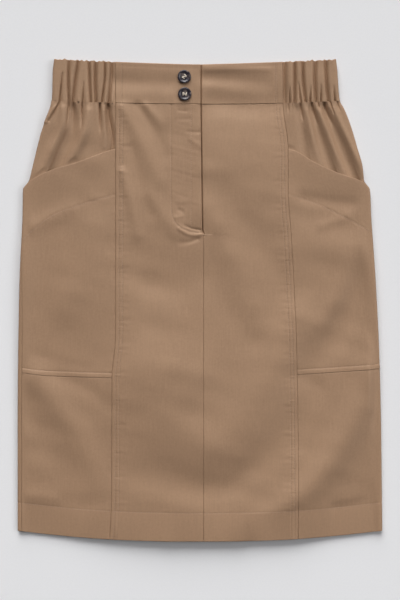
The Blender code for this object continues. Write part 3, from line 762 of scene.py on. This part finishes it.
def hem_relief(grid, seed):
    """The groove of the hem's stitches, the turning's soft ridge and small pulls above them."""
    above = grid.y - hem_edge(grid.x) - HEM_TURN
    return (0.15 * ease(1.2, -1.2, above) + groove(above, 0.18)
            + puckers(0.12, grid.x, 6.5, seed, above - 4, 5))


def hem_thickness(grid):
    return blend(CLOTH, HEM_CLOTH, ease(HEM_TURN + 1.5, HEM_TURN, grid.y - hem_edge(grid.x)))


def lap_rise(x, y, rise, reach):
    """How far a lap's free edge lies above the cloth that it covers."""
    return rise * ease(-reach, -2, x - centre(y))


def fly_rise(x, y):
    return lap_rise(x, y, 0.9, 24) * ease(FLY_FOOT + 1, FLY_FOOT + 22, y)


def front_right():
    """The right centre panel, with its fly."""
    seam = inner_seam["right"]
    columns = stations(close_to(*TOPSTITCH), 30, close_to() + dense(3, 46, 0.9))
    grid = lay_out(on_front, panel_top, hem_edge, seam, shifted(centre, -SEAM_GAP / 2),
                   FRONT_ROWS, columns)

    def relief(grid):
        x, y = grid.x, grid.y
        fly_row = groove(path_places(smooth_path(FLY_STITCH), x, y)[0], 0.4, 1.0)
        inner_row = groove(x - FLY_INNER_X, 0.15, 0.9) * ease(FLY_FOOT, FLY_FOOT + 3, y)
        in_fly = ease(-44, -34, x) * ease(FLY_FOOT - 2, FLY_FOOT + 12, y) * ease(4, -6, x)
        pulls = 0.1 * in_fly * ripple(y + 0.3 * x, 9.5, 5)
        return (topstitched(x - seam(y), y, 1) + hem_relief(grid, 2)
                + puckers(0.25, x, 9, 3, band_seam(x) - y, 9) + fold_height(FLY_FOLDS, x, y)
                + fly_row + inner_row + pulls + fly_rise(x, y))

    piece = cloth("front_right", grid, relief, hem_thickness(grid))
    paths = seam_rows("right", TOPSTITCH, PANEL_SPAN) + [
        walk(FLY_STITCH), line_down(shifted(np.zeros_like, FLY_INNER_X), *FLY_SPAN),
        hem_row(princess["right"](HEM_ROW_Y) + 1, 3)]
    rows = [(on_front, relief, path) for path in paths]
    stitches("stitches_front_right", *rows)


def front_left():
    """The left centre panel, whose edge drops and runs on under the fly."""
    seam = inner_seam["left"]

    def hidden_edge(y):
        return np.where(y > FLY_FOOT, centre(y) - FLY_LAP, centre(y) + SEAM_GAP / 2)

    columns = stations(close_to() + dense(FLY_LAP - 3, FLY_LAP + 5, 0.35), 56, close_to(*TOPSTITCH))
    grid = lay_out(on_front, panel_top, hem_edge, hidden_edge, seam, FRONT_ROWS, columns)

    def relief(grid):
        x, y = grid.x, grid.y
        past_fly = x - centre(y)
        under = ease(FLY_FOOT - 6, FLY_FOOT, y) * ease(3, 0.6, past_fly)
        drop = (CLOTH + 0.2 - fly_rise(centre(y) - 2, y)) * under
        gap = groove(past_fly - 0.5, 2.4) + groove(past_fly, 0.5, 6)
        return (topstitched(seam(y) - x, y, 11) + hem_relief(grid, 12)
                + puckers(0.25, x, 9, 13, band_seam(x) - y, 9) * (1 - under)
                - drop + gap * ease(FLY_FOOT - 2, FLY_FOOT + 6, y))

    piece = cloth("front_left", grid, relief, hem_thickness(grid))
    paths = seam_rows("left", TOPSTITCH, PANEL_SPAN) + [hem_row(6, princess["left"](HEM_ROW_Y) - 1)]
    rows = [(on_front, relief, path) for path in paths]
    stitches("stitches_front_left", *rows)


def settled(height, room):
    """The height, kept smoothly from sinking by more than the room below the cloth."""
    room = np.maximum(room, 0.3)
    return np.where(height < 0, room * np.expm1(np.minimum(height, 0) / room), height)


def gathered_in(x):
    """1 where the elastic gathers the cloth, 0 at the plain front between the gathers."""
    return ease(112, 121, abs(x))


def mouth_bulge(x):
    """How far the gathers hold a pocket's mouth up, along its length."""
    return MOUTH_BULGE * ease(114, 142, abs(x)) * ease(233, 206, abs(x))


def hip(name):
    """A side panel, gathered into the band, which runs on behind the pocket."""
    side = SIDE_OF[name]
    seam = shifted(side_seam[name], -HIP_GAP / 2)

    def side_end(y):
        return blend(-0.5, seam(y), share(MOUTH_CORNER - 0.5, MOUTH_CORNER + 3.5, y))

    grid = lay_out(on_side(side), panel_top, shifted(mouth[name], -HIP_LAP), side_end, outer_seam[name],
                   stations(close_to(), 130, [0, 6, 14]), stations([0], 280, close_to()))

    def relief(grid):
        below = band_seam(grid.x) - grid.y
        above_mouth = grid.y - mouth[name](grid.x)
        puff = GATHER_PUFF * gathered_in(grid.x) * ease(75, 0, below)
        folds = fold_height(HIP_FOLDS[name], grid.x, grid.y) * ease(-1, 12, below)
        folds = np.where(folds > 0, folds * blend(0.4, 1, ease(0, 36, above_mouth)), folds)
        creases = fold_height(HIP_CREASES[name], grid.x, grid.y, pinched) * ease(-6, 7, below)
        small = puckers(0.9, grid.x, 6.5, 21 + side, below, 9)
        raised = (BAND_PROUD * bump(below, 6) + puff + folds + creases + small) * fading(grid.s, grid.y)
        raised = settled(raised, tube(grid.y, grid.side, grid.s)[..., 2] - LEAST_HEIGHT)
        return pressed(raised, blend(-0.75 + mouth_bulge(grid.x), 12, ease(1.5, 30, above_mouth)))

    cloth("hip_" + name, grid, relief, turned=("end",))


def side_grid(name, upper, lower, rows, count):
    """The grid of a panel from the side seam to the princess seam."""
    return lay_out(on_side(SIDE_OF[name]), upper, lower, shifted(side_seam[name], -SEAM_GAP / 2),
                   outer_seam[name], rows, stations(ROLL_STEPS, count, close_to()))


def seam_puckers(grid, name, seed):
    """The puckers of a side panel beside the princess seam."""
    return puckers(0.15, grid.y, 7, seed, grid.s - outer_seam[name](grid.y), 5)


def pocket(name):
    """A pocket panel with its faced mouth."""
    side = SIDE_OF[name]
    grid = side_grid(name, mouth[name], shifted(pocket_foot[name], SEAM_GAP / 2),
                     stations(close_to(), 190, close_to(POCKET_STITCH)), 76)

    def relief(grid):
        below = mouth[name](grid.x) - grid.y
        faced = 0.7 * ease(34, 0, below) + mouth_bulge(grid.x) * ease(MOUTH_REACH, 0, below)
        to_facing = facing[name](grid.x) - grid.y
        held = groove(to_facing, 0.3, 1.0) * ease(-3, -9, grid.s)
        pulls = puckers(0.13, grid.x + 0.8 * grid.y, 7, 31 + side, to_facing, 7)
        above_row = grid.y - pocket_foot[name](grid.x) - POCKET_STITCH
        stitched = 0.3 * ease(1, -1, above_row) + groove(above_row, 0.3)
        beside = seam_puckers(grid, name, 41 + side)
        return (faced + held + pulls + stitched + beside) * fading(grid.s, grid.y)

    piece = cloth("pocket_" + name, grid, relief)
    foot = line_across(shifted(pocket_foot[name], POCKET_STITCH), princess[name](0) + side * 2, side * 232)
    rows = [(on_side(side), relief, side_places(name, path)) for path in (foot, walk(FACING[name]))]
    stitches("stitches_pocket_" + name, *rows)


def lower_side(name):
    """The side panel between the pocket and the hem."""
    side = SIDE_OF[name]
    grid = side_grid(name, shifted(pocket_foot[name], -SEAM_GAP / 2), hem_edge,
                     stations(close_to(), 110, close_to(HEM_TURN)), 64)

    def relief(grid):
        pulls = puckers(0.12, grid.x, 8, 53 + side, pocket_foot[name](grid.x) - grid.y, 6)
        beside = seam_puckers(grid, name, 51 + side)
        return (hem_relief(grid, 55 + side) + beside + pulls) * fading(grid.s, grid.y)

    piece = cloth("lower_side_" + name, grid, relief, hem_thickness(grid))
    hem = side_places(name, hem_row(princess[name](HEM_ROW_Y) + side, side * 238))
    sewn = stitches("stitches_hem_" + name, (on_side(side), relief, hem))


def back():
    """The back panel, flat on the floor and rolled up to the side seams."""
    ends = [back_end(name, shifted(side_seam[name], SEAM_GAP / 2)) for name in SIDE_OF]
    near_roll = ROLL_STEPS + [10, 12]
    grid = lay_out(round_back, panel_top, hem_edge, *ends,
                   stations(close_to(), 150, close_to(HEM_TURN)), stations(near_roll, 130, near_roll))

    def relief(grid):
        gathers = 0.3 * (ripple(grid.x, 11, 61) - 1) * bump(band_seam(grid.x) - grid.y, 26)
        return gathers + groove(grid.y - hem_edge(grid.x) - HEM_TURN, 0.3, 0.9)

    piece = cloth("back", grid, relief, hem_thickness(grid))
    # The stitches lie in their groove, so that they don't reach the floor.
    row = (round_back, shifted(relief, -0.15), hem_row(-228, 228))
    stitches("stitches_back", row, radius=0.2)


def scalloped_waist(x):
    """The elastic draws the top edge into small scallops at the sides."""
    return waist_edge(x) + ease(110, 122, abs(x)) * (1.4 * ripple(x, 7.5, 81) - 0.3)


def waistband_back():
    """The elastic band, from one front band seam round the back to the other."""
    ends = [back_end(name, outer_seam[name]) for name in SIDE_OF]
    gathered = close_to() + dense(2.6, 90, 0.42)
    grid = lay_out(round_back, scalloped_waist, band_seam, *ends, BAND_ROWS,
                   stations(gathered, 120, gathered))

    def relief(grid):
        gathers = np.zeros(grid.x.shape)
        for name, side in SIDE_OF.items():
            here = grid.side == side
            gathers[here] = fold_height(BAND_FOLDS[name], grid.x[here], grid.y[here], pinched)
        gathers = (gathers + puckers(0.9, grid.x, 6.5, 73, grid.y - band_seam(grid.x), 8)
                   + GATHER_PUFF * gathered_in(grid.x))
        gathers = settled(gathers, tube(grid.y, grid.side, grid.s)[..., 2] - LEAST_BAND_HEIGHT)
        behind = 0.35 * (ripple(grid.x, 7, 71) - 1)
        return blend(behind, BAND_PROUD + gathers, fading(grid.s, grid.y))

    cloth("waistband_back", grid, relief, BAND_CLOTH,
                                          turned=("start", "end", "top"))


def band_edge_row(grid):
    """The groove of the stitches along the waistband's top edge."""
    return groove(waist_edge(grid.x) - grid.y - 5.5, 0.2, 0.9)


def band_overlap():
    """The right plain band, which ends at the fly's edge."""
    seam = inner_seam["right"]
    grid = lay_out(on_front, waist_edge, band_seam, seam, centre, BAND_ROWS,
                   stations(close_to(*BAND_STITCH["right"]), 74, close_to()))

    def relief(grid):
        rows = sum(groove(grid.x - seam(grid.y) - row, 0.3) for row in BAND_STITCH["right"])
        return BAND_PROUD + rows + lap_rise(grid.x, grid.y, 1.1, 12) + band_edge_row(grid)

    return cloth("waistband_front_right", grid, relief, BAND_CLOTH), relief


def band_underlap():
    """The left plain band, which drops and runs on under the overlap."""
    seam = inner_seam["left"]
    near_lap = close_to() + dense(BAND_LAP - 3, BAND_LAP + 5, 0.35)
    grid = lay_out(on_front, waist_edge, band_seam, shifted(centre, -BAND_LAP), seam, BAND_ROWS,
                   stations(near_lap, 90, close_to(*BAND_STITCH["left"])))

    def relief(grid):
        past_lap = grid.x - centre(grid.y)
        rows = sum(groove(seam(grid.y) - grid.x - row, 0.25) for row in BAND_STITCH["left"])
        drop = (BAND_CLOTH - 1.0) * ease(3, 0.5, past_lap) + 1.2 * ease(-2, -12, past_lap)
        return BAND_PROUD + rows + groove(past_lap - 0.5, 1.5) - drop + band_edge_row(grid)

    return cloth("waistband_front_left", grid, relief, BAND_CLOTH), relief


def waistband_fronts():
    """The two plain front bands, with the stitches down their seams."""
    pieces = {"right": band_overlap(), "left": band_underlap()}
    rows = [(on_front, relief, path) for name, (piece, relief) in pieces.items()
            for path in seam_rows(name, BAND_STITCH[name], BAND_SPAN)]
    stitches("stitches_waistband", *rows)


def add_node(tree, kind, values=None, **settings):
    """Add a shader node. A value that is a socket is linked, any other is set."""
    node = tree.nodes.new(kind)
    for name, value in settings.items():
        setattr(node, name, value)
    for name, value in (values or {}).items():
        if isinstance(value, bpy.types.NodeSocket):
            tree.links.new(value, node.inputs[name])
        else:
            node.inputs[name].default_value = value
    return node


def new_material(name, **values):
    """A material and its nodes, with the shader's values that are the same all over."""
    material = bpy.data.materials.new(name)
    material.use_nodes = True
    shader = material.node_tree.nodes["Principled BSDF"]
    for key, value in values.items():
        shader.inputs[key.replace("_", " ")].default_value = value
    return material, material.node_tree


def to_shader(tree, value, socket):
    tree.links.new(value, tree.nodes["Principled BSDF"].inputs[socket])


def object_places(tree):
    return add_node(tree, "ShaderNodeTexCoord").outputs["Object"]


def noise(tree, vector, scale, detail=2.0, roughness=0.5):
    values = {"Vector": vector, "Scale": scale, "Detail": detail, "Roughness": roughness}
    return add_node(tree, "ShaderNodeTexNoise", values).outputs["Fac"]


def diagonal_ribs(tree, vector, scale, **wobble):
    values = {"Vector": vector, "Scale": scale}
    values.update({key.replace("_", " "): value for key, value in wobble.items()})
    return add_node(tree, "ShaderNodeTexWave", values, wave_type="BANDS",
                    bands_direction="DIAGONAL").outputs["Fac"]


def uneven(tree, spread, *noise_values):
    """A brightness that varies in patches, by about spread either way from 1."""
    values = {"Value": noise(tree, *noise_values), "From Min": 0.3, "From Max": 0.7,
              "To Min": 1 - spread, "To Max": 1 + spread}
    return add_node(tree, "ShaderNodeMapRange", values).outputs["Result"]


def combine(tree, operation, first, second):
    return add_node(tree, "ShaderNodeMath", {0: first, 1: second}, operation=operation).outputs[0]


def paint(tree, colour, brightness):
    """Give the surface a colour times a brightness."""
    values = {"Vector": colour, "Scale": brightness}
    scaled = add_node(tree, "ShaderNodeVectorMath", values, operation="SCALE")
    to_shader(tree, scaled.outputs["Vector"], "Base Color")


def emboss(tree, height, strength, distance):
    """Give the surface a fine relief."""
    values = {"Height": height, "Strength": strength, "Distance": distance}
    to_shader(tree, add_node(tree, "ShaderNodeBump", values).outputs["Normal"], "Normal")


def make_twill():
    """Cotton twill: steep fine diagonal ribs, slubs along the warp, and soft uneven colour."""
    material, tree = new_material("tan_twill", Roughness=0.56, Specular_IOR_Level=0.85,
                                  Specular_Tint=(1.0, 0.8, 0.62, 1))
    weave = add_node(tree, "ShaderNodeUVMap", uv_map="weave").outputs["UV"]
    warp = add_node(tree, "ShaderNodeMapping", {"Vector": weave, "Scale": (1, 0.06, 1)}).outputs["Vector"]
    blotches = uneven(tree, 0.035, weave, 13, 3)
    mottle = uneven(tree, 0.06, weave, 300, 3, 0.65)
    slubs = uneven(tree, 0.035, warp, 650, 1)
    patches = combine(tree, "MULTIPLY", blotches, mottle)
    paint(tree, TWILL_COLOUR, combine(tree, "MULTIPLY", patches, slubs))
    ribs = diagonal_ribs(tree, weave, 520, Distortion=0.6, Detail=1, Detail_Scale=2)
    emboss(tree, combine(tree, "ADD", ribs, noise(tree, weave, 1500, 1)), 0.25, 0.00012)
    return material


def make_thread(name, colour):
    """Twisted sewing thread."""
    material, tree = new_material(name, Roughness=0.6, Sheen_Weight=0.2, Specular_IOR_Level=0.4)
    places = object_places(tree)
    paint(tree, colour, uneven(tree, 0.12, places, 900))
    emboss(tree, diagonal_ribs(tree, places, 900), 0.3, 0.0001)
    return material


def make_horn():
    """Dark horn with pale clouded patches and fine scratches."""
    material, tree = new_material("dark_horn", Roughness=0.36, Coat_Weight=0.2, Coat_Roughness=0.25)
    places = object_places(tree)
    patches = add_node(tree, "ShaderNodeValToRGB", {"Fac": noise(tree, places, 240, 3, 0.6)})
    for stop, (position, colour) in zip(patches.color_ramp.elements, HORN_STOPS):
        stop.position = position
        stop.color = (*colour, 1)
    to_shader(tree, patches.outputs["Color"], "Base Color")
    emboss(tree, noise(tree, places, 1400), 0.08, 0.0001)
    return material


twill = make_twill()
thread = make_thread("tan_thread", THREAD_COLOUR)
button_thread = make_thread("pale_thread", BUTTON_THREAD_COLOUR)
horn = make_horn()


BUTTON_TURNS = {"button_upper": 0.9, "button_lower": 0.0}
BUTTON_RADIUS = 9.0
BUTTON_DEPTH = 2.7
BUTTON_STEPS = 64
# The button's section, from the middle of its top to the middle of its underside, as shares of
# its radius and its depth.
BUTTON_PROFILE = [(0, 0.6), (0.3, 0.6), (0.48, 0.61), (0.58, 0.66), (0.66, 0.76), (0.73, 0.9),
                  (0.79, 0.98), (0.86, 1), (0.92, 0.96), (0.97, 0.82), (1, 0.62), (0.99, 0.46),
                  (0.93, 0.3), (0.72, 0.1), (0.5, 0), (0, 0)]
HOLE_RADIUS = 1.0
HOLE_RING = 3.1          # from the button's middle to a hole's
BAR_ENDS = [(2, 1), (1, 3), (3, 0)]     # the holes that the thread joins
BAR_STRANDS = 3
BAR_RADIUS = 0.3
BAR_SPACING = 1.7        # between strands, in radii
BAR_PLACES = 9
BAR_BASE = 0.62          # a share of the button's depth
BAR_RISE = 0.55
BAR_DIP = 0.5            # into the holes


def thread_holes(turn):
    """The middles of a turned button's four holes, from the middle of the button."""
    angles = turn + (0.25 + 0.5 * np.arange(4)) * math.pi
    return HOLE_RING * np.stack([np.cos(angles), np.sin(angles)], -1)


def button(node, turn):
    """A turned four-hole button with a raised rim."""
    low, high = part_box(node)
    middle = (low + high) / 2
    radius, depth = BUTTON_RADIUS * MM, BUTTON_DEPTH * MM
    points = [(radius * reach, 0, depth * height) for reach, height in BUTTON_PROFILE]
    profile = bpy.data.meshes.new(node + "_profile")
    profile.from_pydata(points, [(i, i + 1) for i in range(len(points) - 1)], [])
    blank = place(node + "_blank", profile)
    screw = blank.modifiers.new("Turned", "SCREW")
    screw.steps = screw.render_steps = BUTTON_STEPS
    screw.use_merge_vertices = True
    screw.merge_threshold = 0.00001
    drill = bmesh.new()
    for x, y in thread_holes(0) * MM:
        bmesh.ops.create_cone(drill, cap_ends=True, segments=20, radius1=HOLE_RADIUS * MM,
                              radius2=HOLE_RADIUS * MM, depth=3 * depth,
                              matrix=Matrix.Translation((x, y, 0)))
    holes = bpy.data.meshes.new(node + "_holes")
    drill.to_mesh(holes)
    drill.free()
    cut = blank.modifiers.new("Thread holes", "BOOLEAN")
    cut.operation = "DIFFERENCE"
    cut.object = place(node + "_holes", holes)
    bpy.context.view_layer.update()
    mesh = bpy.data.meshes.new_from_object(blank.evaluated_get(bpy.context.evaluated_depsgraph_get()))
    for helper in (cut.object, blank):
        bpy.data.objects.remove(helper, do_unlink=True)
    mesh.materials.clear()
    piece = new_piece(node + "_horn", mesh, horn, (middle.x, middle.y, low.z), turn)
    mesh.set_sharp_from_angle(angle=math.radians(40))
    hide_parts(node)


def button_bars(node, turn):
    """The thread that crosses a button from hole to hole, three strands to a bar."""
    low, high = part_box(node)
    holes = np.array((low + high) / 2)[:2] / MM + thread_holes(turn)
    k = np.linspace(0, 1, BAR_PLACES)[:, None]
    arch = np.sin(math.pi * k)
    height = low.z / MM + BAR_BASE * BUTTON_DEPTH + BAR_RISE * arch ** 0.5 - BAR_DIP * (1 - arch) ** 4
    strands = []
    for start, end in BAR_ENDS:
        run = holes[end] - holes[start]
        sideways = unit(np.array([-run[1], run[0]]))
        for number in range(BAR_STRANDS):
            offset = (number - (BAR_STRANDS - 1) / 2) * BAR_SPACING * BAR_RADIUS
            line = np.concatenate([holes[start] + run * k + sideways * offset, height], -1)
            ahead = unit(np.gradient(line, axis=0))
            across = unit(np.cross([0, 0, 1], ahead))
            strands.append(rings_round(line, across, np.cross(ahead, across), BAR_RADIUS))
    rods(node + "_thread", np.array(strands), button_thread)


Window = namedtuple("Window", "name azimuth elevation spread strength")
WINDOWS = [Window("window_above", -6, 29, 50, 4.13), Window("window_right", 85, 40, 34, 0.95)]
OVERHEAD_STRENGTH = 0.5
WORLD_COLOUR = (0.97, 0.95, 1, 1)
WORLD_STRENGTH = 0.085
# In metres, and the lens in millimetres.
OVERHEAD_SIZE = 0.6
OVERHEAD_PLACE = (0.08, 0, 1.2)
FLOOR_REACH = 3
FLOOR_DROP = 0.0003
CAMERA_HEIGHT = 1.9
CAMERA_LENS = 85.3


def add_light(name, kind, strength):
    light = bpy.data.lights.new(name, kind)
    light.energy = strength
    return place(name, light)


def add_window(window):
    """A broad window's light, from an azimuth that is turned clockwise from up the picture."""
    sun = add_light(window.name, "SUN", window.strength)
    sun.data.angle = math.radians(window.spread)
    turn, rise = math.radians(window.azimuth), math.radians(window.elevation)
    towards = Vector((math.sin(turn) * math.cos(rise), math.cos(turn) * math.cos(rise), math.sin(rise)))
    sun.location = towards * 2
    sun.rotation_euler = (-towards).to_track_quat("-Z", "Y").to_euler()


def add_floor():
    shape = bmesh.new()
    bmesh.ops.create_grid(shape, x_segments=1, y_segments=1, size=FLOOR_REACH)
    mesh = bpy.data.meshes.new("floor")
    shape.to_mesh(mesh)
    shape.free()
    material, tree = new_material("pale_paper", Roughness=0.9, Specular_IOR_Level=0.1)
    paint(tree, FLOOR_COLOUR, uneven(tree, 0.01, object_places(tree), 400))
    mesh.materials.append(material)
    floor = place("floor", mesh)
    floor.location.z = -FLOOR_DROP


def studio():
    """The pale floor, soft lights from above the waist, the right and overhead, and the camera."""
    add_floor()
    for window in WINDOWS:
        add_window(window)
    overhead = add_light("overhead", "AREA", OVERHEAD_STRENGTH)
    overhead.data.size = OVERHEAD_SIZE
    overhead.location = OVERHEAD_PLACE
    scene = bpy.context.scene
    scene.world = bpy.data.worlds.new("studio")
    scene.world.use_nodes = True
    background = scene.world.node_tree.nodes["Background"]
    background.inputs["Color"].default_value = WORLD_COLOUR
    background.inputs["Strength"].default_value = WORLD_STRENGTH
    camera = bpy.data.cameras.new("camera")
    camera.lens = CAMERA_LENS
    scene.camera = place("camera", camera)
    scene.camera.location.z = CAMERA_HEIGHT
    scene.view_settings.view_transform = "Standard"


studio()
front_right()
front_left()
for wearer_side in SIDE_OF:
    hip(wearer_side)
    pocket(wearer_side)
    lower_side(wearer_side)
back()
waistband_back()
waistband_fronts()
for node, turn in BUTTON_TURNS.items():
    button(node, turn)
    button_bars(node, turn)
